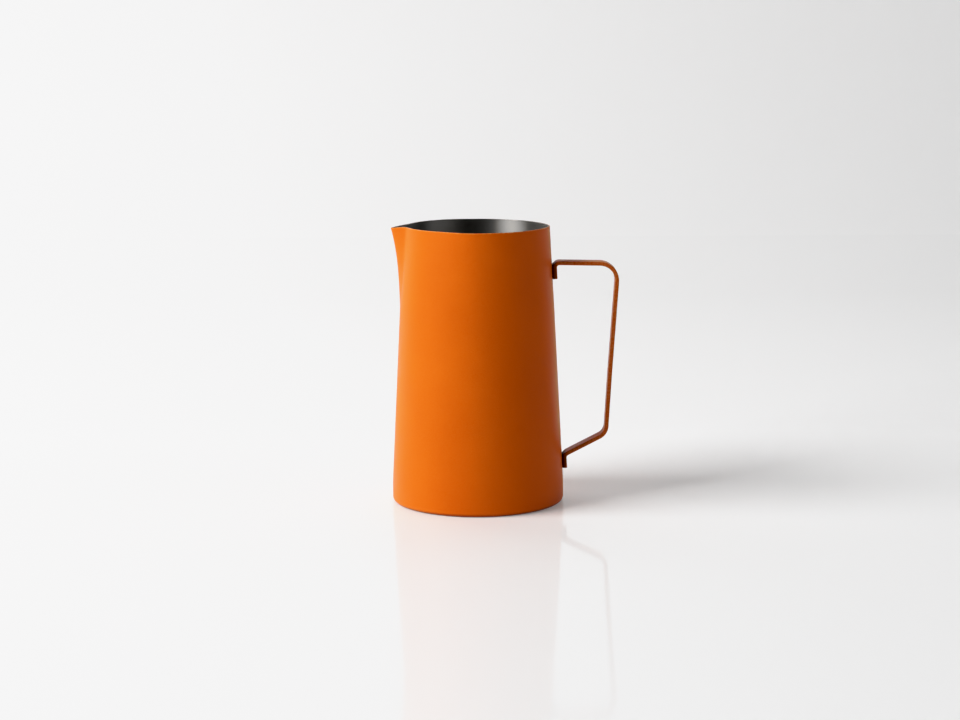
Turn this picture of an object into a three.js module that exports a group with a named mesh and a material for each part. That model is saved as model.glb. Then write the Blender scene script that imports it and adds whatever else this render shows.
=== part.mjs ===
// Milk frothing pitcher: a tapered steel jug with a pressed spout, a bent strap handle and a
// powder coat over its outside.
// Millimetres. The origin is the centre of the base, on the surface that the pitcher stands on.
// +Z is up, the handle points along +X and the spout along -X.

import * as THREE from 'three';
import { mergeVertices } from 'three/addons/utils/BufferGeometryUtils.js';

const degree = Math.PI / 180;

// Body, measured on the outside of the coat
const height = 141.7;
const baseRadius = 44;
const rimRadius = 37.25;
const skirtHeight = 10;
const baseEdgeRadius = 2.4;

// Layers of the wall, from the outside in
const coatThickness = 0.3;
const clearance = 0.3;
const steelThickness = 0.8;
const steelInset = coatThickness + clearance;
const insideInset = steelInset + steelThickness;
const coatBelowRim = 0.5;

// Spout: a beak pressed out of the wall, from its foot up to the rim
const spoutReach = 6.4;
const spoutFoot = 100.2;
const spoutConcavity = 0.3;
const noseAngle = 2.75 * degree;
const creaseBlend = 0.9;

// What pressing the spout does to the rest of the rim
const flankDrawIn = 1.15;
const flankStart = 58 * degree;
const flankEnd = 88 * degree;
const handleSideDrawIn = 1.5;
const handleSideAngle = 148 * degree;
const handleSideWidth = 23 * degree;
const rimLift = 0.3;
const tipDip = 0.97;
const tipDipWidth = 7 * degree;

// Weld that joins the wall to the base pan, seen on the inside
const seamWidth = 3.2;
const seamThickness = 0.4;

// Strap handle
const strapThickness = 2;
const strapWidth = 9;
const strapEdge = 0.35;
const upperTabEnd = 114.6;
const lowerTabEnd = 16.6;
const runHeight = 122.95;
const runDrop = 0.65;
const gripTopX = 71.9;
const gripBowX = 67.85;
const gripBowZ = 66;
const gripBottomX = 65.9;
const gripBottomZ = 34.7;
const lowerArmDrop = 11;
const tabBendRadius = 2.3;
const topBendRadius = 8.8;
const bowBendRadius = 420;
const bottomBendRadius = 6.5;

// Facets
const roundSegments = 80;
const slopeStep = 0.001;
const mergeTolerance = 0.0001;
const gatherAtSpout = 0.75;
const spoutRows = [0, 0.12, 0.25, 0.4, 0.55, 0.68, 0.8, 0.9, 1];
const edgeSteps = 3;
const bendSteps = 6;

function coneRadius(z) {
  const rise = Math.max(0, z - skirtHeight) / (height - skirtHeight);
  return THREE.MathUtils.lerp(baseRadius, rimRadius, rise);
}

function spoutRise(z) {
  return THREE.MathUtils.clamp((z - spoutFoot) / (height - spoutFoot), 0, 1);
}

function hump(angle, centre, width) {
  return Math.exp(-(((angle - centre) / width) ** 2));
}

function flankShare(angle) {
  return 1 - THREE.MathUtils.smoothstep(angle, flankStart, flankEnd);
}

function softMax(a, b, blend) {
  return (a + b + Math.hypot(a - b, blend)) / 2;
}

// Radius of the outside at a height, for an angle of 0 to 180 degrees from the spout's tip.
// The beak's flanks are straight lines from the tip towards the round wall.
function outlineRadius(angle, z) {
  const rise = spoutRise(z);
  const cone = coneRadius(z);
  const nearSpout = cone - flankDrawIn * rise;
  const drawIn = flankDrawIn * flankShare(angle)
    + handleSideDrawIn * hump(angle, handleSideAngle, handleSideWidth);
  const round = cone - rise * drawIn;
  const tip = cone + (spoutReach * (rise + rise ** 3)) / 2;
  const tangentAngle = Math.asin(nearSpout / tip);
  const tipAngle = tangentAngle * (1 - spoutConcavity * rise ** 1.5);
  const roundedAngle = Math.hypot(angle, noseAngle) - noseAngle;
  const flankAngle = Math.min(tipAngle + roundedAngle, Math.PI / 2);
  const flank = (tip * Math.sin(tipAngle)) / Math.sin(flankAngle);
  return softMax(flank, round, creaseBlend * rise ** 2);
}

// Point on the wall at a signed angle from the spout, set in from the outside along the
// outline's normal.
function wallPoint(signedAngle, z, inset) {
  const angle = Math.abs(signedAngle);
  const side = signedAngle < 0 ? -1 : 1;
  const radius = outlineRadius(angle, z);
  const ahead = outlineRadius(angle + slopeStep, z);
  const behind = outlineRadius(Math.abs(angle - slopeStep), z);
  const slope = (ahead - behind) / (2 * slopeStep);
  const alongX = -slope * Math.cos(angle) + radius * Math.sin(angle);
  const alongY = slope * Math.sin(angle) + radius * Math.cos(angle);
  const length = Math.hypot(alongX, alongY);
  const x = -radius * Math.cos(angle) + (inset * alongY) / length;
  const y = radius * Math.sin(angle) - (inset * alongX) / length;
  const lift = rimLift * flankShare(angle) - tipDip * hump(angle, 0, tipDipWidth);
  return [x, side * y, z + lift * spoutRise(z) ** 3];
}

// A lathed ring or disc whose columns gather towards the spout and whose wall takes the
// spout's shape.
function shapedLathe(profile) {
  const lathe = new THREE.LatheGeometry(profile, roundSegments);
  lathe.rotateX(Math.PI / 2);
  lathe.deleteAttribute('normal');
  lathe.deleteAttribute('uv');
  const position = lathe.getAttribute('position');
  for (let i = 0; i < position.count; i += 1) {
    const x = position.getX(i);
    const y = position.getY(i);
    const z = position.getZ(i);
    const radius = Math.hypot(x, y);
    const even = Math.atan2(y, -x);
    const angle = even - gatherAtSpout * Math.sin(even);
    if (radius > baseRadius / 2) {
      position.setXYZ(i, ...wallPoint(angle, z, coneRadius(z) - radius));
    }
  }
  return mergeVertices(lathe, mergeTolerance);
}

function spoutHeights(top) {
  return spoutRows.map((row) => THREE.MathUtils.lerp(spoutFoot, top, row));
}

// Closed profile of a skin that follows the cone between two insets
function skinProfile(heights, outerInset, innerInset) {
  const outside = heights.map((z) => new THREE.Vector2(coneRadius(z) - outerInset, z));
  const inside = heights.map((z) => new THREE.Vector2(coneRadius(z) - innerInset, z)).reverse();
  return [...outside, ...inside, outside[0].clone()];
}

function edgeArc(centreX, centreZ, radius, fromAngle, toAngle) {
  const points = [];
  for (let i = 0; i <= edgeSteps; i += 1) {
    const angle = THREE.MathUtils.lerp(fromAngle, toAngle, i / edgeSteps);
    points.push(new THREE.Vector2(centreX + radius * Math.cos(angle), centreZ + radius * Math.sin(angle)));
  }
  return points;
}

function makeSideWall() {
  const foot = skirtHeight + clearance / 2;
  return shapedLathe(skinProfile([foot, ...spoutHeights(height)], steelInset, insideInset));
}

function makeCoat() {
  const heights = [baseEdgeRadius, skirtHeight, ...spoutHeights(height - coatBelowRim)];
  return shapedLathe(skinProfile(heights, 0, coatThickness));
}

function makeBasePan() {
  const top = skirtHeight - clearance / 2;
  const outside = baseRadius - steelInset;
  const inside = baseRadius - insideInset;
  const centre = outside - baseEdgeRadius;
  const down = -Math.PI / 2;
  const profile = [
    new THREE.Vector2(0, 0),
    ...edgeArc(centre, baseEdgeRadius, baseEdgeRadius, down, 0),
    new THREE.Vector2(outside, top),
    new THREE.Vector2(inside, top),
    ...edgeArc(centre, baseEdgeRadius, baseEdgeRadius - steelThickness, 0, down),
    new THREE.Vector2(0, steelThickness),
  ];
  return shapedLathe(profile);
}

function makeSeamWeld() {
  const low = skirtHeight - seamWidth / 2;
  const high = skirtHeight + seamWidth / 2;
  const outer = coneRadius(high) - insideInset - clearance;
  const crown = outer - seamThickness;
  const profile = [
    new THREE.Vector2(outer, low),
    new THREE.Vector2(outer, high),
    new THREE.Vector2(crown, skirtHeight + seamWidth / 4),
    new THREE.Vector2(crown, skirtHeight - seamWidth / 4),
    new THREE.Vector2(outer, low),
  ];
  return shapedLathe(profile);
}

// Corners of the strap's middle line in the X-Z plane, each with its bend radius
function strapCorners() {
  const stand = clearance + strapThickness / 2;
  const tabX = (z) => coneRadius(z) + stand;
  const armZ = gripBottomZ - lowerArmDrop;
  return [
    { x: tabX(upperTabEnd), z: upperTabEnd + strapEdge, bend: 0 },
    { x: tabX(runHeight), z: runHeight, bend: tabBendRadius },
    { x: gripTopX, z: runHeight - runDrop, bend: topBendRadius },
    { x: gripBowX, z: gripBowZ, bend: bowBendRadius },
    { x: gripBottomX, z: gripBottomZ, bend: bottomBendRadius },
    { x: tabX(armZ), z: armZ, bend: tabBendRadius },
    { x: tabX(lowerTabEnd), z: lowerTabEnd + strapEdge, bend: 0 },
  ];
}

// Points along the middle line with each corner rounded, and the direction at each point
function strapLine() {
  const corners = strapCorners();
  const points = corners.map((corner) => new THREE.Vector2(corner.x, corner.z));
  const last = points.length - 1;
  const line = [];
  for (let i = 0; i <= last; i += 1) {
    const back = points[Math.max(i - 1, 0)];
    const ahead = points[Math.min(i + 1, last)];
    const arriving = points[i].clone().sub(i === 0 ? ahead : back).normalize();
    if (i === 0) {
      arriving.negate();
    }
    const leaving = ahead.clone().sub(points[i]).normalize();
    if (i === last) {
      leaving.copy(arriving);
    }
    const turn = Math.atan2(arriving.cross(leaving), arriving.dot(leaving));
    const bend = corners[i].bend;
    const start = points[i].clone().addScaledVector(arriving, -bend * Math.tan(Math.abs(turn) / 2));
    const steps = bend > 0 ? bendSteps : 0;
    for (let k = 0; k <= steps; k += 1) {
      const part = steps > 0 ? (turn * k) / steps : 0;
      const chord = 2 * bend * Math.sin(Math.abs(part) / 2);
      const towards = arriving.clone().rotateAround(new THREE.Vector2(), part / 2);
      const along = arriving.clone().rotateAround(new THREE.Vector2(), part);
      line.push({ point: start.clone().addScaledVector(towards, chord), along });
    }
  }
  return line;
}

// The strap seen from the side, drawn out along Y, with its long edges broken
function makeStrap() {
  const half = strapThickness / 2 - strapEdge;
  const line = strapLine();
  const edge = (side) => line.map(({ point, along }) => (
    new THREE.Vector2(point.x - side * half * along.y, point.y + side * half * along.x)
  ));
  const outline = new THREE.Shape([...edge(1), ...edge(-1).reverse()]);
  const strap = new THREE.ExtrudeGeometry(outline, {
    depth: strapWidth - 2 * strapEdge,
    bevelEnabled: true,
    bevelThickness: strapEdge,
    bevelSize: strapEdge,
    bevelSegments: 1,
    steps: 1,
  });
  strap.translate(0, 0, strapEdge - strapWidth / 2);
  strap.rotateX(Math.PI / 2);
  strap.deleteAttribute('normal');
  strap.deleteAttribute('uv');
  return mergeVertices(strap, mergeTolerance);
}

function steelMaterial() {
  return new THREE.MeshStandardMaterial({ color: '#8f9193', roughness: 0.38, metalness: 1 });
}

function coatMaterial() {
  return new THREE.MeshStandardMaterial({ color: '#d9680f', roughness: 0.62, metalness: 0 });
}

function namedMesh(name, geometry, material) {
  geometry.computeVertexNormals();
  const mesh = new THREE.Mesh(geometry, material);
  mesh.name = name;
  return mesh;
}

const body = new THREE.Group();
body.add(namedMesh('side_wall', makeSideWall(), steelMaterial()));
body.add(namedMesh('base_pan', makeBasePan(), steelMaterial()));
body.add(namedMesh('base_seam_weld', makeSeamWeld(), steelMaterial()));
body.add(namedMesh('body_coat', makeCoat(), coatMaterial()));

const pitcher = new THREE.Group();
pitcher.add(body);
pitcher.add(namedMesh('handle_strap', makeStrap(), coatMaterial()));

export default pitcher;
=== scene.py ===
# Milk frothing pitcher: a steel jug with a pressed spout, a strap handle and a powder coat outside.
# Metres, +Z up, handle along +X, spout along -X, standing on z = 0.

import math

import bpy
import bmesh
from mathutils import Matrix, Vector


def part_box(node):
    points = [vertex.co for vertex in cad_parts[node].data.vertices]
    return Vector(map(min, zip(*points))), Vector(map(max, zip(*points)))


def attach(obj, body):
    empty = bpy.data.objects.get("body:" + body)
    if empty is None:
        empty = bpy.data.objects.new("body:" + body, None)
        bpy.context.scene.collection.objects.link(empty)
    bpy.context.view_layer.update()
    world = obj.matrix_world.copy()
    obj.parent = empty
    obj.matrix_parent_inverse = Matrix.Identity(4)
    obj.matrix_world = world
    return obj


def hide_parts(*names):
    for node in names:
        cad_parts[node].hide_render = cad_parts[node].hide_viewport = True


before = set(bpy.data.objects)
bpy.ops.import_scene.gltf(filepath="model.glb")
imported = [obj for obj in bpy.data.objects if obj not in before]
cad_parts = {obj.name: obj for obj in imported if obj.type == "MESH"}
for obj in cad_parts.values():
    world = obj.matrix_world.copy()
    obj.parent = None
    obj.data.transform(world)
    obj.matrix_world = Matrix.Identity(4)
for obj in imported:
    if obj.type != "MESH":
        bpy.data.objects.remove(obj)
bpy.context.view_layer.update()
mm = 0.001
degree = math.pi / 180
_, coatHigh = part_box("body_coat")
_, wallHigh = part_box("side_wall")
seamLow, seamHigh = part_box("base_seam_weld")
_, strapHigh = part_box("handle_strap")
print("frame loaded:", ", ".join(sorted(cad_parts)))

# Jug shape, measured on the outside of the coat
jug = {
    "rimRadius": 37.25 * mm,
    "skirtHeight": 10 * mm,
    "kinkSoftness": 1.6 * mm,
    "edgeRadius": 2.4 * mm,      # where the wall turns into the base
    "film": 0.2 * mm,            # coat
    "steel": 0.8 * mm,
    "spoutReach": 6.4 * mm,
    "spoutFoot": 100.2 * mm,
    "spoutConcavity": 0.3,
    "noseAngle": 2.75 * degree,
    "creaseBlend": 1.4 * mm,
    "flankDrawIn": 1.15 * mm,    # what pressing the spout does to the rest of the rim
    "flankStart": 58 * degree,
    "flankEnd": 88 * degree,
    "handleSideDrawIn": 1.1 * mm,
    "handleSideAngle": 148 * degree,
    "handleSideWidth": 23 * degree,
    "rimLift": 0.3 * mm,
    "tipDip": 0.97 * mm,
    "tipDipWidth": 7 * degree,
    "jointGap": 0.02 * mm,       # wall and pan each stop this far from the kink
}
baseRadius = coatHigh.y
rimHeight = wallHigh.z - jug["rimLift"]


def lerp(a, b, share):
    return a + (b - a) * share


def smoothStep(value, low, high):
    share = min(max((value - low) / (high - low), 0), 1)
    return share * share * (3 - 2 * share)


def hump(value, centre, width):
    return math.exp(-(((value - centre) / width) ** 2))


def softMax(a, b, blend):
    return (a + b + math.hypot(a - b, blend)) / 2


def coneRadius(z):
    above = z - jug["skirtHeight"]
    softened = (above + math.hypot(above, jug["kinkSoftness"])) / 2
    return lerp(baseRadius, jug["rimRadius"], softened / (rimHeight - jug["skirtHeight"]))


def spoutRise(z):
    return min(max((z - jug["spoutFoot"]) / (rimHeight - jug["spoutFoot"]), 0), 1)


def flankShare(angle):
    return 1 - smoothStep(angle, jug["flankStart"], jug["flankEnd"])


# Outside radius at a height, for 0 to 180 degrees from the spout's tip. The beak's flanks run almost
# straight from the tip into the round wall.
def outlineRadius(angle, z):
    rise = spoutRise(z)
    cone = coneRadius(z)
    nearSpout = cone - jug["flankDrawIn"] * rise
    handleSide = hump(angle, jug["handleSideAngle"], jug["handleSideWidth"])
    drawIn = jug["flankDrawIn"] * flankShare(angle) + jug["handleSideDrawIn"] * handleSide
    roundWall = cone - rise * drawIn
    tip = cone + jug["spoutReach"] * (rise + rise ** 3) / 2
    tipAngle = math.asin(nearSpout / tip) * (1 - jug["spoutConcavity"] * rise ** 1.5)
    roundedAngle = math.hypot(angle, jug["noseAngle"]) - jug["noseAngle"]
    flankAngle = min(tipAngle + roundedAngle, math.pi / 2)
    flank = tip * math.sin(tipAngle) / math.sin(flankAngle)
    return softMax(flank, roundWall, jug["creaseBlend"] * rise ** 2)


# Point on the wall at a signed angle from the spout, set in along the outline's normal
def wallPoint(signedAngle, z, inset):
    angle = abs(signedAngle)
    slopeStep = 0.001
    ahead = outlineRadius(angle + slopeStep, z)
    behind = outlineRadius(abs(angle - slopeStep), z)
    radius = outlineRadius(angle, z)
    slope = (ahead - behind) / (2 * slopeStep)
    alongX = -slope * math.cos(angle) + radius * math.sin(angle)
    alongY = slope * math.sin(angle) + radius * math.cos(angle)
    length = math.hypot(alongX, alongY)
    x = -radius * math.cos(angle) + inset * alongY / length
    y = radius * math.sin(angle) - inset * alongX / length
    lift = jug["rimLift"] * flankShare(angle) - jug["tipDip"] * hump(angle, 0, jug["tipDipWidth"])
    return Vector((x, math.copysign(y, signedAngle), z + lift * spoutRise(z) ** 3))


# Line through corners (x, z, bend radius), each bend an arc. It gives (point, direction) pairs.
def roundedLine(corners, arcStep, straightStep, turnStep=6 * degree):
    ends = [Vector(corner[:2]) for corner in corners]
    line = []
    last = len(ends) - 1
    for i, end in enumerate(ends):
        arriving = (end - ends[i - 1]).normalized() if i else (ends[1] - end).normalized()
        leaving = (ends[i + 1] - end).normalized() if i < last else arriving.copy()
        turn = math.atan2(arriving.x * leaving.y - arriving.y * leaving.x, arriving.dot(leaving))
        bend = corners[i][2]
        start = end - arriving * bend * math.tan(abs(turn) / 2)
        if line:
            begin = line[-1][0]
            gap = (start - begin).length
            pieces = max(1, math.ceil(gap / straightStep))
            for k in range(1, pieces):
                line.append((begin.lerp(start, k / pieces), arriving.copy()))
        steps = 0
        if bend:
            steps = max(2, math.ceil(abs(turn) / turnStep), math.ceil(bend * abs(turn) / arcStep))
        for k in range(steps + 1):
            part = turn * k / steps if steps else 0
            chord = 2 * bend * math.sin(abs(part) / 2)
            along = Vector((
                arriving.x * math.cos(part) - arriving.y * math.sin(part),
                arriving.x * math.sin(part) + arriving.y * math.cos(part)))
            towards = (arriving + along).normalized()
            line.append((start + towards * chord, along))
    return line


def nodeTree(tree):
    def add(kind, values=None, **settings):
        node = tree.nodes.new(kind)
        for name, value in settings.items():
            setattr(node, name, value)
        for socket, value in (values or {}).items():
            if isinstance(value, bpy.types.NodeSocket):
                tree.links.new(value, node.inputs[socket])
            else:
                node.inputs[socket].default_value = value
        return node
    return add


def newGroup(name, inputs, outputs):
    tree = bpy.data.node_groups.new(name, "ShaderNodeTree")
    for label, value in inputs.items():
        socket = tree.interface.new_socket(label, in_out="INPUT", socket_type="NodeSocketFloat")
        socket.default_value = value
    for label in outputs:
        tree.interface.new_socket(label, in_out="OUTPUT", socket_type="NodeSocketFloat")
    add = nodeTree(tree)
    return tree, add, add("NodeGroupInput").outputs, add("NodeGroupOutput").inputs


def maths(add, operation, a, b=0.0):
    return add("ShaderNodeMath", {0: a, 1: b}, operation=operation).outputs[0]


def spread(add, value, fromLow, fromHigh, toLow, toHigh):
    sockets = {"Value": value, "From Min": fromLow, "From Max": fromHigh, "To Min": toLow, "To Max": toHigh}
    return add("ShaderNodeMapRange", sockets).outputs["Result"]


# Slow drift of shade over a surface
def makeDriftGroup():
    tree, add, given, out = newGroup("slowDrift", {"Patches per metre": 30, "Contrast": 1}, ["Drift"])
    place = add("ShaderNodeTexCoord").outputs["Object"]
    cloud = add("ShaderNodeTexNoise", {
        "Vector": place, "Scale": given["Patches per metre"], "Detail": 3, "Roughness": 0.55})
    centred = maths(add, "SUBTRACT", cloud.outputs[0], 0.5)
    scaled = maths(add, "MULTIPLY", centred, given["Contrast"])
    tree.links.new(maths(add, "ADD", scaled, 0.5), out["Drift"])
    return tree


# Powder coat skin: fused grains with a faint orange peel under them
def makePowderGroup():
    inputs = {"Grains per metre": 3200, "Peel per metre": 420, "Peel share": 0.6}
    tree, add, given, out = newGroup("powderSkin", inputs, ["Height", "Speck"])
    place = add("ShaderNodeTexCoord").outputs["Object"]
    grain = add("ShaderNodeTexVoronoi", {
        "Vector": place, "Scale": given["Grains per metre"], "Smoothness": 0.6}, feature="SMOOTH_F1")
    fine = add("ShaderNodeTexNoise", {"Vector": place, "Scale": given["Grains per metre"], "Detail": 2})
    peel = add("ShaderNodeTexNoise", {"Vector": place, "Scale": given["Peel per metre"], "Detail": 1})
    bumps = maths(add, "SUBTRACT", fine.outputs[0], grain.outputs["Distance"])
    peelPart = maths(add, "MULTIPLY", peel.outputs[0], given["Peel share"])
    tree.links.new(maths(add, "ADD", bumps, peelPart), out["Height"])
    tree.links.new(spread(add, fine.outputs[0], 0.3, 0.7, 0, 1), out["Speck"])
    return tree


# Brush lines that run round the axis on walls and in rings on flats
def makeBrushGroup():
    inputs = {"Lines per metre": 2600, "Streak length": 5, "Contrast": 1}
    tree, add, given, out = newGroup("turnedBrushing", inputs, ["Streak", "Height"])
    place = add("ShaderNodeSeparateXYZ", {0: add("ShaderNodeTexCoord").outputs["Object"]}).outputs
    squares = [maths(add, "POWER", place[axis], 2) for axis in "XY"]
    across = maths(add, "SQRT", maths(add, "ADD", squares[0], squares[1]))
    profile = maths(add, "ADD", across, place["Z"])
    slow = [maths(add, "MULTIPLY", place[axis], given["Streak length"]) for axis in "XY"]
    layers = ((0.5, 1.0), (0.3, 0.33), (0.2, 2.7))  # share of the pattern, fineness
    total = None
    for share, finer in layers:
        lines = maths(add, "MULTIPLY", profile, maths(add, "MULTIPLY", given["Lines per metre"], finer))
        where = add("ShaderNodeCombineXYZ", {"X": slow[0], "Y": slow[1], "Z": lines}).outputs[0]
        layer = add("ShaderNodeTexNoise", {"Vector": where, "Scale": 1, "Detail": 2, "Roughness": 0.6})
        part = maths(add, "MULTIPLY", layer.outputs[0], share)
        total = part if total is None else maths(add, "ADD", total, part)
    centred = maths(add, "MULTIPLY", maths(add, "SUBTRACT", total, 0.5), given["Contrast"])
    tree.links.new(maths(add, "ADD", centred, 0.5), out["Streak"])
    tree.links.new(total, out["Height"])
    return tree


# Rubbed edges, painted highlights and painted shade. The mesh marks them in the layer "edge": above 0 is a
# rubbed edge or a painted highlight, which noise breaks up, and below 0 is painted shade, a corner, crevice,
# lip or contact line whose colour is darkened to stand in for shade.
def makeWearAndShadeGroup():
    inputs = {"Amount": 0.5, "Breaks per metre": 900}
    tree, add, given, out = newGroup("edgeWearAndShade", inputs, ["Mask", "PaintedShade"])
    edge = add("ShaderNodeAttribute", attribute_name="edge").outputs["Fac"]
    place = add("ShaderNodeTexCoord").outputs["Object"]
    breaks = add("ShaderNodeTexNoise", {"Vector": place, "Scale": given["Breaks per metre"], "Detail": 4})
    uneven = spread(add, breaks.outputs[0], 0.35, 0.7, 0, 1)
    openEdge = maths(add, "MAXIMUM", edge, 0)
    mask = maths(add, "MULTIPLY", maths(add, "MULTIPLY", openEdge, uneven), given["Amount"])
    tree.links.new(mask, out["Mask"])
    tree.links.new(maths(add, "MAXIMUM", maths(add, "MULTIPLY", edge, -1), 0), out["PaintedShade"])
    return tree


# Faint handling marks, as warped patches
def makeSmudgeGroup():
    tree, add, given, out = newGroup("handlingMarks", {"Marks per metre": 55, "Amount": 1}, ["Mask"])
    place = add("ShaderNodeTexCoord").outputs["Object"]
    warpsPerMetre, warpShare = 40, 0.02
    warp = add("ShaderNodeTexNoise", {"Vector": place, "Scale": warpsPerMetre, "Detail": 2}).outputs["Color"]
    bent = add("ShaderNodeMix", {"Factor": warpShare, 4: place, 5: warp}, data_type="VECTOR").outputs[1]
    marks = add("ShaderNodeTexNoise", {
        "Vector": bent, "Scale": given["Marks per metre"], "Detail": 5, "Roughness": 0.65})
    patches = spread(add, marks.outputs[0], 0.5, 0.75, 0, 1)
    tree.links.new(maths(add, "MULTIPLY", patches, given["Amount"]), out["Mask"])
    return tree


driftGroup = makeDriftGroup()
powderGroup = makePowderGroup()
brushGroup = makeBrushGroup()
wearAndShadeGroup = makeWearAndShadeGroup()
smudgeGroup = makeSmudgeGroup()
print("shared surface effects ready")


def startMaterial(name):
    material = bpy.data.materials.new(name)
    material.use_nodes = True
    material.node_tree.nodes.clear()
    add = nodeTree(material.node_tree)
    shader = add("ShaderNodeBsdfPrincipled")
    end = add("ShaderNodeOutputMaterial", {"Surface": shader.outputs["BSDF"]})
    return material, add, shader.inputs, end


def useGroup(add, group, **values):
    node = add("ShaderNodeGroup", node_tree=group)
    for name, value in values.items():
        node.inputs[name.replace("_", " ")].default_value = value
    return node.outputs


def mixColours(add, share, first, second):
    return add("ShaderNodeMix", {0: share, 6: first, 7: second}, data_type="RGBA").outputs[2]


coatFinish = {
    "colour": (0.80, 0.186, 0.006, 1),
    "deepColour": (0.74, 0.158, 0.004, 1),
    # colour of rubbed edges and specks, and of the painted highlight along the body's rim
    "rubbedAndHighlightColour": (0.92, 0.42, 0.13, 1),
    # near-black colour of painted shade
    "paintedShadeColour": (0.05, 0.008, 0.003, 1),
    "glossTint": (1, 0.40, 0.13, 1),
    "roughness": (0.40, 0.50),
    "diffuseRoughness": 0.9,
    "specular": 0.33,
    "grainDepth": 0.02 * mm,
    "grainStrength": 0.6,
    "patchesPerMetre": 26,
    "patchContrast": 1.6,
    "speckShare": 0.12,
    "paintedShadeShare": 0.85,
    "markGloss": 0.06,           # how much smoother marks and rubbed edges are
    "wearGloss": 0.1,
}


def makeCoatMaterial(name, wearAndHighlightAmount, marks, paintedShadowShare):
    material, add, surface, _ = startMaterial(name)
    patches, contrast = coatFinish["patchesPerMetre"], coatFinish["patchContrast"]
    drift = useGroup(add, driftGroup, Patches_per_metre=patches, Contrast=contrast)["Drift"]
    powder = useGroup(add, powderGroup)
    wearAndShadeMarks = useGroup(add, wearAndShadeGroup, Amount=wearAndHighlightAmount)
    wearAndHighlight = wearAndShadeMarks["Mask"]
    smudge = useGroup(add, smudgeGroup, Amount=marks)["Mask"]
    base = mixColours(add, drift, coatFinish["deepColour"], coatFinish["colour"])
    specks = maths(add, "MULTIPLY", powder["Speck"], coatFinish["speckShare"])
    speckled = mixColours(add, specks, base, coatFinish["rubbedAndHighlightColour"])
    # worn strap edges and the painted highlight on the body's lip both take the lighter colour
    wornAndHighlit = mixColours(add, wearAndHighlight, speckled, coatFinish["rubbedAndHighlightColour"])
    # painted shade: corners, the floor contact and the handle's shaded share are darkened towards a
    # near-black orange
    paintedShade = maths(add, "MULTIPLY", wearAndShadeMarks["PaintedShade"], coatFinish["paintedShadeShare"])
    paintedShadeTotal = maths(add, "ADD", paintedShade, paintedShadowShare)
    colour = mixColours(add, paintedShadeTotal, wornAndHighlit, coatFinish["paintedShadeColour"])
    low, high = coatFinish["roughness"]
    rough = spread(add, drift, 0.2, 0.8, low, high)
    rough = maths(add, "SUBTRACT", rough, maths(add, "MULTIPLY", smudge, coatFinish["markGloss"]))
    rough = maths(add, "SUBTRACT", rough, maths(add, "MULTIPLY", wearAndHighlight, coatFinish["wearGloss"]))
    bump = add("ShaderNodeBump", {
        "Height": powder["Height"],
        "Distance": coatFinish["grainDepth"],
        "Strength": coatFinish["grainStrength"]})
    tree = material.node_tree
    tree.links.new(colour, surface["Base Color"])
    tree.links.new(rough, surface["Roughness"])
    tree.links.new(bump.outputs["Normal"], surface["Normal"])
    surface["Specular IOR Level"].default_value = coatFinish["specular"]
    surface["Specular Tint"].default_value = coatFinish["glossTint"]
    surface["Diffuse Roughness"].default_value = coatFinish["diffuseRoughness"]
    return material


steelFinish = {
    "light": (0.37, 0.358, 0.343, 1),
    "dark": (0.26, 0.25, 0.238, 1),
    # near-black colour of the painted shade on the lip
    "paintedShade": (0.05, 0.047, 0.043, 1),
    "smudged": (0.27, 0.264, 0.255, 1),
    "heatTinted": (0.42, 0.30, 0.17, 1),
    "streakContrast": 0.9,
    "streakDepth": 0.012 * mm,
    "streakStrength": 0.35,
    "brushTurn": 0.25,           # lays the stretched gloss across the brush lines
    "patchesPerMetre": 45,
    "patchContrast": 1.4,
    "patchShare": 0.25,
    "markShare": 0.3,
    "markDulling": 0.08,
    "wearAndHighlight": 0.8,
    "tintsPerMetre": 260,
}


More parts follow.
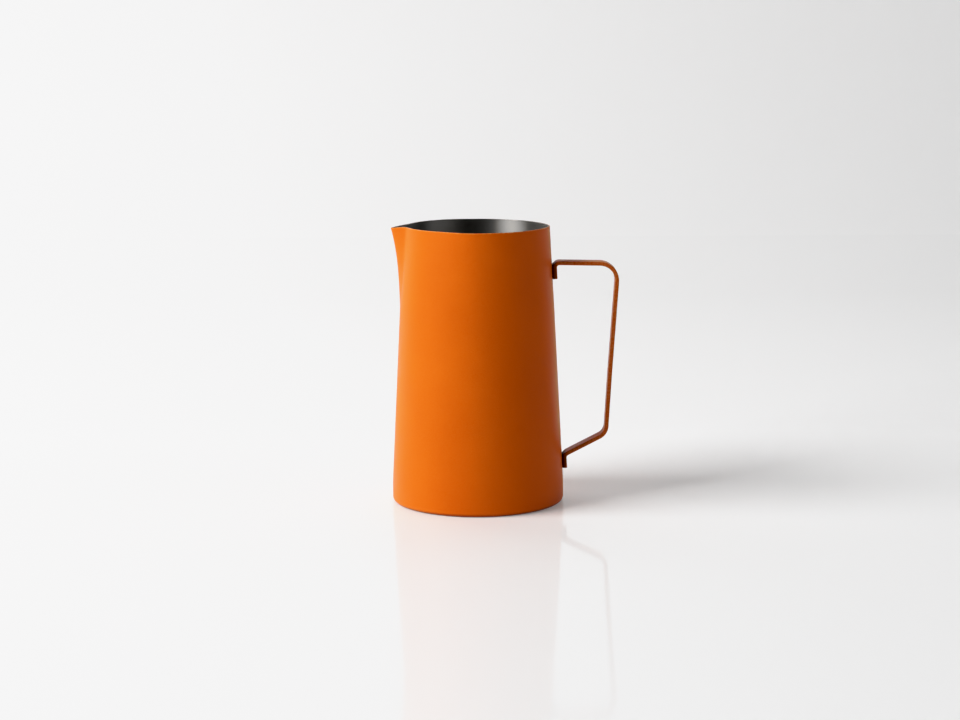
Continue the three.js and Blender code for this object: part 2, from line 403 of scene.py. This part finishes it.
def makeSteelMaterial(name, roughness, lines, anisotropy, marks, heatTint=0):
    material, add, surface, _ = startMaterial(name)
    brush = useGroup(add, brushGroup, Lines_per_metre=lines, Contrast=steelFinish["streakContrast"])
    patches, contrast = steelFinish["patchesPerMetre"], steelFinish["patchContrast"]
    drift = useGroup(add, driftGroup, Patches_per_metre=patches, Contrast=contrast)["Drift"]
    smudge = useGroup(add, smudgeGroup, Amount=marks)["Mask"]
    wearAndShadeMarks = useGroup(add, wearAndShadeGroup, Amount=steelFinish["wearAndHighlight"])
    metal = mixColours(add, brush["Streak"], steelFinish["dark"], steelFinish["light"])
    driftPart = maths(add, "MULTIPLY", drift, steelFinish["patchShare"])
    drifted = mixColours(add, driftPart, metal, steelFinish["smudged"])
    markPart = maths(add, "MULTIPLY", smudge, steelFinish["markShare"])
    marked = mixColours(add, markPart, drifted, steelFinish["smudged"])
    wornAndHighlit = mixColours(add, wearAndShadeMarks["Mask"], marked, steelFinish["light"])
    # painted shade on the lip: its colour darkened towards near-black steel
    colour = mixColours(add, wearAndShadeMarks["PaintedShade"], wornAndHighlit, steelFinish["paintedShade"])
    low, high = roughness
    rough = spread(add, brush["Streak"], 0.3, 0.7, low, high)
    rough = maths(add, "ADD", rough, maths(add, "MULTIPLY", smudge, steelFinish["markDulling"]))
    bump = add("ShaderNodeBump", {
        "Height": brush["Height"],
        "Distance": steelFinish["streakDepth"],
        "Strength": steelFinish["streakStrength"]})
    if heatTint:
        point = add("ShaderNodeTexCoord").outputs["Object"]
        scale = steelFinish["tintsPerMetre"]
        tinted = add("ShaderNodeTexNoise", {"Vector": point, "Scale": scale, "Detail": 2}).outputs[0]
        share = maths(add, "MULTIPLY", spread(add, tinted, 0.35, 0.65, 0, 1), heatTint)
        colour = mixColours(add, share, colour, steelFinish["heatTinted"])
    tree = material.node_tree
    tree.links.new(colour, surface["Base Color"])
    tree.links.new(rough, surface["Roughness"])
    tree.links.new(bump.outputs["Normal"], surface["Normal"])
    surface["Metallic"].default_value = 1
    surface["Anisotropic"].default_value = anisotropy
    surface["Anisotropic Rotation"].default_value = steelFinish["brushTurn"]
    tangent = add("ShaderNodeTangent", direction_type="RADIAL", axis="Z")
    tree.links.new(tangent.outputs[0], surface["Tangent"])
    return material


# the body coat's only marks above 0 are the painted highlight over the lip
bodyPaint = makeCoatMaterial("powderCoatBody", wearAndHighlightAmount=0.85, marks=0.5, paintedShadowShare=0)
# the handle's colour is darkened by a painted share of the body's shadow
strapPaint = makeCoatMaterial("powderCoatHandle", wearAndHighlightAmount=0.7, marks=0.9, paintedShadowShare=0.33)
wallSteel = makeSteelMaterial("brushedSteelWall", (0.45, 0.54), 7000, 0.75, marks=0.5)
panSteel = makeSteelMaterial("turnedSteelBase", (0.32, 0.44), 5200, 0.4, marks=0.8)
seamSteel = makeSteelMaterial("weldedSteelSeam", (0.26, 0.40), 2400, 0.2, marks=0.3, heatTint=0.5)
print("materials ready")


def buildPiece(name, points, faces, wearAndShadeMarks, material):
    mesh = bpy.data.meshes.new(name)
    mesh.from_pydata(points, [], faces)
    # layer "edge": wear and painted highlight above 0, painted shade below 0
    layer = mesh.attributes.new("edge", "FLOAT", "POINT")
    layer.data.foreach_set("value", wearAndShadeMarks)
    mesh.materials.append(material)
    work = bmesh.new()
    work.from_mesh(mesh)
    bmesh.ops.recalc_face_normals(work, faces=work.faces)
    work.to_mesh(mesh)
    work.free()
    mesh.shade_smooth()
    piece = bpy.data.objects.new(name, mesh)
    bpy.context.scene.collection.objects.link(piece)
    return piece


def joinRings(rings, closed):
    following = rings[1:] + rings[:1] if closed else rings[1:]
    faces = []
    for first, second in zip(rings, following):
        count = max(len(first), len(second))
        for i in range(count):
            j = (i + 1) % count
            if len(first) == 1:
                faces.append((first[0], second[j], second[i]))
            elif len(second) == 1:
                faces.append((first[i], first[j], second[0]))
            else:
                faces.append((first[i], first[j], second[j], second[i]))
    return faces


# A turned piece whose columns gather at the spout and whose wall takes the spout's shape.
# The profile holds (radius, z, edge) points, where edge above 0 marks wear and painted highlight and below 0
# painted shade; a radius of 0 is the middle.
def turnedPiece(name, profile, material, closed, columns=288, gather=0.75, ripple=None):
    points, wearAndShadeMarks, rings = [], [], []
    for radius, z, edge in profile:
        ring = []
        for i in range(columns if radius > 0 else 1):
            even = 2 * math.pi * i / columns - math.pi
            angle = even - gather * math.sin(even)
            inset = coneRadius(z) - radius
            if ripple:
                inset += ripple(angle, radius, z)
            ring.append(len(points))
            if radius > baseRadius / 2:
                points.append(wallPoint(angle, z, inset))
            else:
                points.append(Vector((-radius * math.cos(angle), radius * math.sin(angle), z)))
            wearAndShadeMarks.append(edge)
        rings.append(ring)
    return buildPiece(name, points, joinRings(rings, closed), wearAndShadeMarks, material)


# Heights up a wall, closer together round the kink and where the spout is
rows = {
    "kinkStep": 1 * mm,
    "plainStep": 2.6 * mm,
    "spoutStep": 1.1 * mm,
    "aboveKink": 4 * mm,
    "belowSpout": 2 * mm,
    "leastStep": 0.2 * mm,
}


def wallHeights(low, high):
    heights = [low]
    while heights[-1] < high:
        atSpout = heights[-1] > jug["spoutFoot"] - rows["belowSpout"]
        step = rows["spoutStep"] if atSpout else rows["plainStep"]
        if heights[-1] < jug["skirtHeight"] + rows["aboveKink"]:
            step = rows["kinkStep"]
        heights.append(min(heights[-1] + step, high))
    if heights[-1] - heights[-2] < rows["leastStep"]:
        heights.pop(-2)
    return heights


def arcPoints(centreX, centreZ, radius, fromDegrees, toDegrees, steps):
    turns = [lerp(fromDegrees, toDegrees, i / steps) * degree for i in range(steps + 1)]
    return [(centreX + radius * math.cos(t), centreZ + radius * math.sin(t)) for t in turns]


# The steel wall, with its lip rounded outside and inside
lip = {
    "outerRound": 0.34 * mm,
    "innerRound": 0.4 * mm,
    "steps": 7,
    "hold": 0.25 * mm,           # the rows below the lip end this far under it
    "lastRow": 0.06 * mm,
    "outerShade": 0.8,           # painted shade: how far the lip's colour is darkened, outside and inside, in place of the dark it reflects
    "innerShade": 0.35,
}


def makeSideWall():
    low = jug["skirtHeight"] + jug["jointGap"]
    outer = jug["film"]
    inner = jug["film"] + jug["steel"]
    top = coneRadius(rimHeight)
    outerLow = rimHeight - lip["outerRound"]
    innerLow = rimHeight - lip["innerRound"]
    outside = [(coneRadius(z) - outer, z, 0) for z in wallHeights(low, outerLow - lip["hold"])]
    outside.append((top - outer, outerLow - lip["lastRow"], 0))
    outerArc = arcPoints(top - outer - lip["outerRound"], outerLow, lip["outerRound"], 0, 90, lip["steps"])
    innerArc = arcPoints(top - inner + lip["innerRound"], innerLow, lip["innerRound"], 90, 180, lip["steps"])
    inside = [(coneRadius(z) - inner, z, 0) for z in wallHeights(low, innerLow - lip["hold"])]
    inside.append((top - inner, innerLow - lip["lastRow"], 0))
    # painted shade over both lip arcs
    overLip = [(r, z, -lip["outerShade"]) for r, z in outerArc]
    overLip += [(r, z, -lip["innerShade"]) for r, z in innerArc]
    profile = outside + overLip + inside[::-1]
    return turnedPiece("sideWall", profile, wallSteel, closed=True)


# Base pan: a standing ring, a step up to a recessed panel with a pressed groove, and a short wall
pan = {
    "ringInner": 38.8 * mm,
    "panelRadius": 37.0 * mm,
    "panelRise": 0.85 * mm,
    "grooveRadius": 24 * mm,
    "grooveDepth": 0.22 * mm,
    "grooveWidth": 1.5 * mm,
    "cornerSteps": 12,
    "wallRows": (0.1, 0.3, 0.55, 0.8, 1),
    "edgeRow": 0.25 * mm,        # spacing of the rings near the edge
    "edgeRowsEnd": 35.5 * mm,
    "grooveRow": 0.4 * mm,
    "grooveReach": 4 * mm,
    "plainRow": 1.6 * mm,
    "middleReach": 0.5 * mm,
}


def panShape(radius, lowest):
    step = 1 - smoothStep(radius, pan["panelRadius"], pan["ringInner"])
    groove = hump(radius, pan["grooveRadius"], pan["grooveWidth"])
    return lowest + pan["panelRise"] * step - pan["grooveDepth"] * groove


def panRadii(outer):
    step = pan["edgeRow"]
    radii = [outer - step * i for i in range(int((outer - pan["edgeRowsEnd"]) / step))]
    while radii[-1] > pan["middleReach"]:
        atGroove = abs(radii[-1] - pan["grooveRadius"]) < pan["grooveReach"]
        radii.append(radii[-1] - (pan["grooveRow"] if atGroove else pan["plainRow"]))
    return radii[:-1]


def makeBasePan():
    film = jug["film"]
    edge = jug["edgeRadius"]
    ring = baseRadius - edge
    top = jug["skirtHeight"] - jug["jointGap"]
    steps = pan["cornerSteps"]
    underMiddle = [(0, panShape(0, film), 0)]
    under = [(r, panShape(r, film), 0) for r in panRadii(ring)][::-1]
    corner = [(r, z, 0) for r, z in arcPoints(ring, edge, edge - film, -90, 0, steps)]
    innerEdge = edge - film - jug["steel"]
    inside = [(r, z, 0) for r, z in arcPoints(ring, edge, innerEdge, 0, -90, steps)]
    floor = [(r, panShape(r, film + jug["steel"]), 0) for r in panRadii(ring)]
    floorMiddle = [(0, panShape(0, film + jug["steel"]), 0)]
    heights = [edge + (top - edge) * share for share in pan["wallRows"]]
    outerWall = [(baseRadius - film, z, 0) for z in heights]
    innerWall = [(baseRadius - film - jug["steel"], z, 0) for z in heights[::-1]]
    profile = underMiddle + under + corner + outerWall + innerWall + inside + floor[1:] + floorMiddle
    return turnedPiece("basePan", profile, panSteel, closed=False)


# Weld round the inside where the wall meets the pan, with the ripple of its overlapping pools
seam = {
    "ripples": 210,
    "rippleDepth": 0.05 * mm,
    "stand": 0.32 * mm,
    "sink": 0.12 * mm,
    "edgeSink": 0.01 * mm,
    "crownSteps": 12,
    "backRows": (0.6, 0, -0.6),
    "backMargin": 0.02 * mm,
    "plainFrom": 0.98,           # no ripple this near the weld's edges
    "lag": 0.35,                 # how far the edges of a pool trail its middle
    "lagGrowth": 3,
    "columnsPerRipple": 6,
}


def makeSeamWeld():
    middle = (seamLow.z + seamHigh.z) / 2
    half = (seamHigh.z - seamLow.z) / 2
    face = jug["film"] + jug["steel"]
    profile = []
    for i in range(seam["crownSteps"] + 1):
        across = -1 + 2 * i / seam["crownSteps"]
        z = middle + across * half
        crown = seam["stand"] * (1 - across * across)
        profile.append((coneRadius(z) - face - crown + seam["edgeSink"], z, 0))
    for across in seam["backRows"]:
        z = middle + across * half
        profile.append((coneRadius(z) - face + seam["sink"], z, 0))

    def ripple(angle, radius, z):
        across = (z - middle) / half
        if radius > coneRadius(z) - face + seam["backMargin"] or abs(across) > seam["plainFrom"]:
            return 0
        lag = seam["lag"] * across * across * seam["lagGrowth"]
        phase = seam["ripples"] * (angle + math.pi) / (2 * math.pi) + lag
        share = 1 - across * across
        return seam["rippleDepth"] * share * abs(math.sin(math.pi * phase))

    columns = seam["ripples"] * seam["columnsPerRipple"]
    return turnedPiece(
        "baseSeam", profile, seamSteel, closed=True, columns=columns, gather=0, ripple=ripple)


# Coat: a thin skin from the inner edge of the standing ring, up the wall and over the lip's outside
coat = {
    "lipEnd": 50,                # degrees over the lip
    "lipThin": 0.05 * mm,
    "lipSteps": 8,
    "ringEnd": 38.3 * mm,
    "ringEndRise": 0.7,          # how far the film thins where it ends
    "cornerSteps": 24,
    "firstRow": 0.4 * mm,
    # painted shadow: the coat's colour darkens towards the floor contact, round the corner and under the
    # ring
    "contactShadeHeight": 2.0 * mm,
    "contactShade": 0.7,
    "underShade": 0.7 / 3,
    "rimHighlight": 0.3,              # painted highlight just under the lip and over it: a lighter coat colour along the rim's rounded edge
    "lipHighlight": 1,
    "clearance": 0.004 * mm,     # between the film's back and the steel
    "backLipSteps": 5,
    "backLipOverrun": 4,
    "backCornerSteps": 8,
}


def makeCoat():
    film = jug["film"]
    edge = jug["edgeRadius"]
    ring = baseRadius - edge
    outerUnder = [r for r in panRadii(ring) if r > coat["ringEnd"]][::-1]
    # painted shadow under the ring and up the base corner
    under = [(r, panShape(r, 0), -coat["underShade"]) for r in outerUnder]
    under[0] = (under[0][0], under[0][1] + film * coat["ringEndRise"], 0)
    corner = []
    for r, z in arcPoints(ring, edge, edge, -90, 0, coat["cornerSteps"]):
        corner.append((r, z, coat["contactShade"] * (smoothStep(z, 0, coat["contactShadeHeight"]) - 1)))
    topZ = rimHeight - lip["outerRound"]
    heights = wallHeights(edge + coat["firstRow"], topZ - lip["hold"])
    wall = [(coneRadius(z), z, 0) for z in heights]
    wall.append((coneRadius(rimHeight), topZ - lip["lastRow"], coat["rimHighlight"]))
    centre = coneRadius(rimHeight) - film - lip["outerRound"]
    overLip = []
    for i in range(coat["lipSteps"] + 1):
        share = i / coat["lipSteps"]
        turn = coat["lipEnd"] * degree * share
        reach = lip["outerRound"] + lerp(film, coat["lipThin"], share ** 3)
        overLip.append((centre + reach * math.cos(turn), topZ + reach * math.sin(turn), coat["lipHighlight"]))
    outside = under + corner + wall + overLip
    clear = coat["clearance"]
    backLipEnd = coat["lipEnd"] + coat["backLipOverrun"]
    backLip = arcPoints(centre, topZ, lip["outerRound"] + clear, backLipEnd, 0, coat["backLipSteps"])
    backCorner = arcPoints(ring, edge, edge - film + clear, 0, -90, coat["backCornerSteps"])
    back = [(r, z, 0) for r, z in backLip]
    back += [(coneRadius(z) - film + clear, z, 0) for z in heights[::-1]]
    back += [(r, z, 0) for r, z in backCorner]
    back += [(r, panShape(r, film - clear), 0) for r in outerUnder[:0:-1]]
    return turnedPiece("bodyCoat", outside + back, bodyPaint, closed=True)


# Handle: one strap, bent in its own plane, with a tab at each end that lies on the wall
strap = {
    "thickness": 2 * mm,
    "stand": 0.3 * mm,
    "edgeRound": 0.42 * mm,
    "tabCorner": 1.3 * mm,
    "upperTabEnd": 114.6 * mm,
    "lowerTabEnd": 16.6 * mm,
    "runHeight": 122.95 * mm,
    "runDrop": 0.65 * mm,
    "gripTopX": 71.87 * mm,
    "gripBowX": 67.85 * mm,
    "gripBowZ": 66 * mm,
    "gripBottomX": 65.9 * mm,
    "gripBottomZ": 34.7 * mm,
    "armDrop": 11 * mm,
    "tabBend": 2.3 * mm,
    "topBend": 8.8 * mm,
    "bowBend": 420 * mm,
    "bottomBend": 6.5 * mm,
    "spotRadius": 1.5 * mm,
    "spotDepth": 0.13 * mm,
    "spotSpacing": 4.4 * mm,
    "spotRise": 3 * mm,
    "paintedShadeNearBody": 2.7 * mm,         # painted shade: the strap's colour is darkened where it is this near the body
    "seatGap": 0.02 * mm,        # between a tab and the coat it lies on
    "seatEnd": 1 * mm,
    "upperFade": (2.6 * mm, 0.4 * mm),
    "lowerFade": (1.8 * mm, 0.4 * mm),
    "gripSideX": 50 * mm,
    "flatSteps": 22,
    "roundSteps": 5,
    "roundLimit": 0.95,
    "endRows": (0.03 * mm, 0.1 * mm, 0.2 * mm, 0.32 * mm),
    "leastRow": 0.02 * mm,
}
armZ = strap["gripBottomZ"] - strap["armDrop"]


def tabX(z):
    return coneRadius(z) + strap["stand"] + strap["thickness"] / 2


def strapLine():
    corners = [
        (tabX(strap["upperTabEnd"]), strap["upperTabEnd"], 0),
        (tabX(strap["runHeight"]), strap["runHeight"], strap["tabBend"]),
        (strap["gripTopX"], strap["runHeight"] - strap["runDrop"], strap["topBend"]),
        (strap["gripBowX"], strap["gripBowZ"], strap["bowBend"]),
        (strap["gripBottomX"], strap["gripBottomZ"], strap["bottomBend"]),
        (tabX(armZ), armZ, strap["tabBend"]),
        (tabX(strap["lowerTabEnd"]), strap["lowerTabEnd"], 0),
    ]
    return roundedLine(corners, arcStep=0.6 * mm, straightStep=0.4 * mm)


# Section of the strap: across its width and through its thickness, with rounded edges
def strapSection(halfWidth, halfThick, edge):
    flats, turns = strap["flatSteps"], strap["roundSteps"]
    section = []
    for side, start in ((1, -90), (1, 0), (-1, 90), (-1, 180)):
        flip = 1 if start in (0, 90) else -1
        for i in range(turns + 1):
            turn = (start + 90 * i / turns) * degree
            y = side * (halfWidth - edge) + edge * math.cos(turn)
            t = flip * (halfThick - edge) + edge * math.sin(turn)
            section.append((y, t, 1.0))
        if start in (0, 180):
            y0, t0, _ = section[-1]
            y1 = -y0
            section += [(lerp(y0, y1, k / flats), t0, 0.0) for k in range(1, flats)]
    return section


# Change of half width at a rounded end, this far from its tip: 0 or below
def endShare(distance, radius):
    inside = max(radius - distance, 0)
    return math.sqrt(max(radius * radius - inside * inside, 0)) - radius


# 1 where a tab lies on the wall, fading to 0 at its bend
def nearWall(z):
    fadeStart, fadeEnd = strap["upperFade"]
    reached = smoothStep(z, strap["upperTabEnd"] - strap["seatEnd"], strap["upperTabEnd"])
    faded = smoothStep(z, strap["runHeight"] - fadeStart, strap["runHeight"] - fadeEnd)
    below, above = strap["lowerFade"]
    lower = 1 - smoothStep(z, armZ - below, armZ + above)
    return max(reached * (1 - faded), lower)


def spotCentres():
    middles = (strap["upperTabEnd"] + strap["spotRise"], strap["lowerTabEnd"] + strap["spotRise"])
    return [(side * strap["spotSpacing"] / 2, z) for z in middles for side in (-1, 1)]


def makeStrap():
    line = strapLine()
    half = strap["thickness"] / 2
    wide = strapHigh.y
    travelled = [0]
    for (a, _), (b, _) in zip(line, line[1:]):
        travelled.append(travelled[-1] + (b - a).length)
    total = travelled[-1]
    stations = [(distance, point, along) for (point, along), distance in zip(line, travelled)]
    first, last = stations[0], stations[-1]
    extra = [(d, first[1] + first[2] * d, first[2]) for d in strap["endRows"]]
    extra += [(total - d, last[1] - last[2] * d, last[2]) for d in strap["endRows"]]
    stations = sorted(stations + extra, key=lambda station: station[0])
    kept = [stations[0]]
    for station in stations[1:]:
        if station[0] - kept[-1][0] > strap["leastRow"]:
            kept.append(station)
    points, wearAndShadeMarks, rings = [], [], []
    for distance, point, along in kept:
        toEnd = min(distance, total - distance)
        halfWidth = wide + endShare(toEnd, strap["tabCorner"])
        halfThick = half + endShare(toEnd, strap["edgeRound"])
        edge = min(strap["edgeRound"], halfThick * strap["roundLimit"])
        across = Vector((-along.y, along.x))
        ring = []
        weight = nearWall(point.y) if point.x < strap["gripSideX"] else 0
        for y, t, marked in strapSection(halfWidth, halfThick, edge):
            x = point.x + across.x * t
            z = point.y + across.y * t
            towardsWall = -t * across.x / half
            if weight and towardsWall > 0:
                angle = math.pi - math.asin(min(abs(y) / coneRadius(z), 1))
                wallX = math.sqrt(max(outlineRadius(angle, z) ** 2 - y * y, 0))
                x -= weight * min(towardsWall, 1) * (point.x - half - wallX - strap["seatGap"])
            elif weight:
                for spotY, spotZ in spotCentres():
                    away = math.hypot(y - spotY, z - spotZ) / strap["spotRadius"]
                    x -= strap["spotDepth"] * math.exp(-away ** 4)
            ring.append(len(points))
            points.append(Vector((x, y, z)))
            # painted shade near the body, and rubbed edges elsewhere
            gap = math.hypot(x, y) - coneRadius(z)
            paintedShadeNearBody = 1 - gap / strap["paintedShadeNearBody"]
            wornAndHighlit = max(marked, 1 if toEnd < strap["edgeRound"] else 0)
            wearAndShadeMarks.append(-min(paintedShadeNearBody, 1) if paintedShadeNearBody > 0 else wornAndHighlit)
        rings.append(ring)
    faces = joinRings(rings, closed=False) + [tuple(rings[0]), tuple(reversed(rings[-1]))]
    return buildPiece("handleStrap", points, faces, wearAndShadeMarks, strapPaint)


pieces = [
    (makeSideWall(), "side_wall", "steel"),
    (makeBasePan(), "base_pan", "steel"),
    (makeSeamWeld(), "base_seam_weld", "weld"),
    (makeCoat(), "body_coat", "coat"),
    (makeStrap(), "handle_strap", "coat"),
]
for piece, node, finish in pieces:
    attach(piece, "root")
    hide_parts(node)
    print("built", piece.name, len(piece.data.polygons), "faces")

# Studio: a pale gloss floor that sweeps up into a wall, a large soft light, a weak one opposite, and
# a room that gives little light but looks pale to the camera
studio = {
    "sweepColour": 0.79,
    "sweepDarkest": 0.985,       # share of that colour in its darker patches
    "sweepPatchesPerMetre": 6,
    "sweepContrast": 0.5,
    "sweepRoughness": (0.07, 0.5),
    "roughRise": 0.2,
    "sweepIndex": 1.22,
    "floorSeen": 0.15,           # glow in the view and in reflections
    "wallSeen": 0.07,
    "farSeen": 0.75,             # glow far off, where the light doesn't reach
    "farStart": 1.0,
    "farEnd": 2.6,
    "floorLit": 0.04,            # glow as it lights what stands there
    "wallLit": 0.04,
    "glowRise": 0.06,
    "sweepStart": 0.17,
    "sweepRadius": 0.3,
    "sweepFront": (-2.5, -1),
    "sweepTop": 6,
    "bendStep": 3,               # degrees
    "reach": 0.62,
    "ground": 8,
    "groundDrop": 0.2 * mm,
    "roomShade": 0.04,
    "roomSeen": 0.9,
    "keyAzimuth": -69,
    "keyDistance": 1.8,
    "keyHeight": 1.2,
    "keySize": (1.45, 1.1),
    "keyPower": 69.0,
    "fillAzimuth": 75,
    "fillDistance": 1.6,
    "fillHeight": 0.5,
    "fillSize": (0.9, 0.9),
    "fillPower": 3.9,
    "blackLevel": 0.007,
    "tone": ((0.06, 0.04), (0.1, 0.068), (0.2, 0.185), (0.28, 0.26), (0.48, 0.43),
             (0.7, 0.675), (0.88, 0.84), (1.05, 0.92), (1.4, 1.0)),
}


def makeSweepMaterial():
    material, add, surface, end = startMaterial("paleSweep")
    tree = material.node_tree
    patches, contrast = studio["sweepPatchesPerMetre"], studio["sweepContrast"]
    drift = useGroup(add, driftGroup, Patches_per_metre=patches, Contrast=contrast)["Drift"]
    shade = studio["sweepColour"]
    darker = shade * studio["sweepDarkest"]
    colour = mixColours(add, drift, (darker, darker, darker, 1), (shade, shade, shade, 1))
    tree.links.new(colour, surface["Base Color"])
    point = add("ShaderNodeTexCoord").outputs["Object"]
    height = add("ShaderNodeSeparateXYZ", {0: point}).outputs["Z"]
    rise = studio["glowRise"]
    seen = spread(add, height, 0, rise, studio["floorSeen"], studio["wallSeen"])
    lit = spread(add, height, 0, rise, studio["floorLit"], studio["wallLit"])
    path = add("ShaderNodeLightPath").outputs
    away = add("ShaderNodeVectorMath", {0: point}, operation="LENGTH").outputs["Value"]
    farShare = spread(add, away, studio["farStart"], studio["farEnd"], 0, studio["farSeen"])
    far = maths(add, "MULTIPLY", farShare, path["Is Camera Ray"])
    glow = maths(add, "ADD", spread(add, path["Is Diffuse Ray"], 0, 1, seen, lit), far)
    tree.links.new(glow, surface["Emission Strength"])
    surface["Emission Color"].default_value = (1, 1, 1, 1)
    low, high = studio["sweepRoughness"]
    rough = spread(add, height, 0, studio["roughRise"], low, high)
    tree.links.new(rough, surface["Roughness"])
    surface["IOR"].default_value = studio["sweepIndex"]
    clear = add("ShaderNodeBsdfTransparent")
    back = add("ShaderNodeNewGeometry").outputs["Backfacing"]
    solid = tree.nodes["Principled BSDF"].outputs[0]
    both = add("ShaderNodeMixShader", {0: back, 1: solid, 2: clear.outputs[0]})
    tree.links.new(both.outputs[0], end.inputs["Surface"])
    return material


def makeSweep():
    reach, start, bend = studio["reach"], studio["sweepStart"], studio["sweepRadius"]
    profile = [(y, 0) for y in studio["sweepFront"]] + [(start, 0)]
    step = studio["bendStep"]
    for turn in range(step, 90 + step, step):
        angle = turn * degree
        profile.append((start + bend * math.sin(angle), bend * (1 - math.cos(angle))))
    profile.append((start + bend, studio["sweepTop"]))
    mesh = bpy.data.meshes.new("sweep")
    points = [(side * reach, y, z) for y, z in profile for side in (-1, 1)]
    faces = [(2 * i, 2 * i + 1, 2 * i + 3, 2 * i + 2) for i in range(len(profile) - 1)]
    wide, below = studio["ground"], -studio["groundDrop"]
    faces.append(tuple(range(len(points), len(points) + 4)))
    points += [(-wide, -wide, below), (wide, -wide, below), (wide, wide, below), (-wide, wide, below)]
    mesh.from_pydata(points, [], faces)
    mesh.materials.append(makeSweepMaterial())
    mesh.shade_smooth()
    sweep = bpy.data.objects.new("sweep", mesh)
    bpy.context.scene.collection.objects.link(sweep)


def makeRoom():
    world = bpy.data.worlds.new("room")
    world.use_nodes = True
    world.node_tree.nodes.clear()
    add = nodeTree(world.node_tree)
    seen = add("ShaderNodeLightPath").outputs["Is Camera Ray"]
    strength = spread(add, seen, 0, 1, studio["roomShade"], studio["roomSeen"])
    light = add("ShaderNodeBackground", {"Color": (1, 1, 1, 1), "Strength": strength})
    add("ShaderNodeOutputWorld", {"Surface": light.outputs[0]})
    bpy.context.scene.world = world


def aimAt(thing, target):
    thing.rotation_euler = (Vector(target) - thing.location).to_track_quat("-Z", "Y").to_euler()


def makeSoftLight(name):
    data = bpy.data.lights.new(name, "AREA")
    data.shape = "RECTANGLE"
    data.size, data.size_y = studio[name + "Size"]
    data.energy = studio[name + "Power"]
    light = bpy.data.objects.new(name, data)
    turn = studio[name + "Azimuth"] * degree
    away = studio[name + "Distance"]
    light.location = (away * math.sin(turn), -away * math.cos(turn), studio[name + "Height"])
    aimAt(light, (0, 0, rimHeight / 2))
    light.visible_camera = False
    bpy.context.scene.collection.objects.link(light)


view = {
    "sensorWidth": 36,
    "focalLength": 82.39,
    "position": (0.001331, -1.112, 0.25416),
    "tilt": 80.73 * degree,      # 90 degrees would look level
    "roll": -0.0051,             # radians
}


def makeCamera():
    data = bpy.data.cameras.new("view")
    data.sensor_width = view["sensorWidth"]
    data.lens = view["focalLength"]
    camera = bpy.data.objects.new("view", data)
    camera.location = view["position"]
    camera.rotation_euler = (view["tilt"], 0, 0)
    camera.rotation_euler.rotate_axis("Z", view["roll"])
    bpy.context.scene.collection.objects.link(camera)
    bpy.context.scene.camera = camera


# Tone: a gentle S curve that deepens the darks and rolls the highlights off
def makeTone():
    settings = bpy.context.scene.view_settings
    settings.view_transform = "Standard"
    settings.look = "None"
    settings.use_curve_mapping = True
    mapping = settings.curve_mapping
    mapping.use_clip = False
    mapping.black_level = (studio["blackLevel"],) * 3
    curve = mapping.curves[3]
    curve.points[1].location = studio["tone"][-1]
    for point in studio["tone"][:-1]:
        curve.points.new(*point)
    mapping.update()


makeSweep()
makeRoom()
makeSoftLight("key")
makeSoftLight("fill")
makeCamera()
makeTone()
print("studio ready")

bpy.context.view_layer.update()
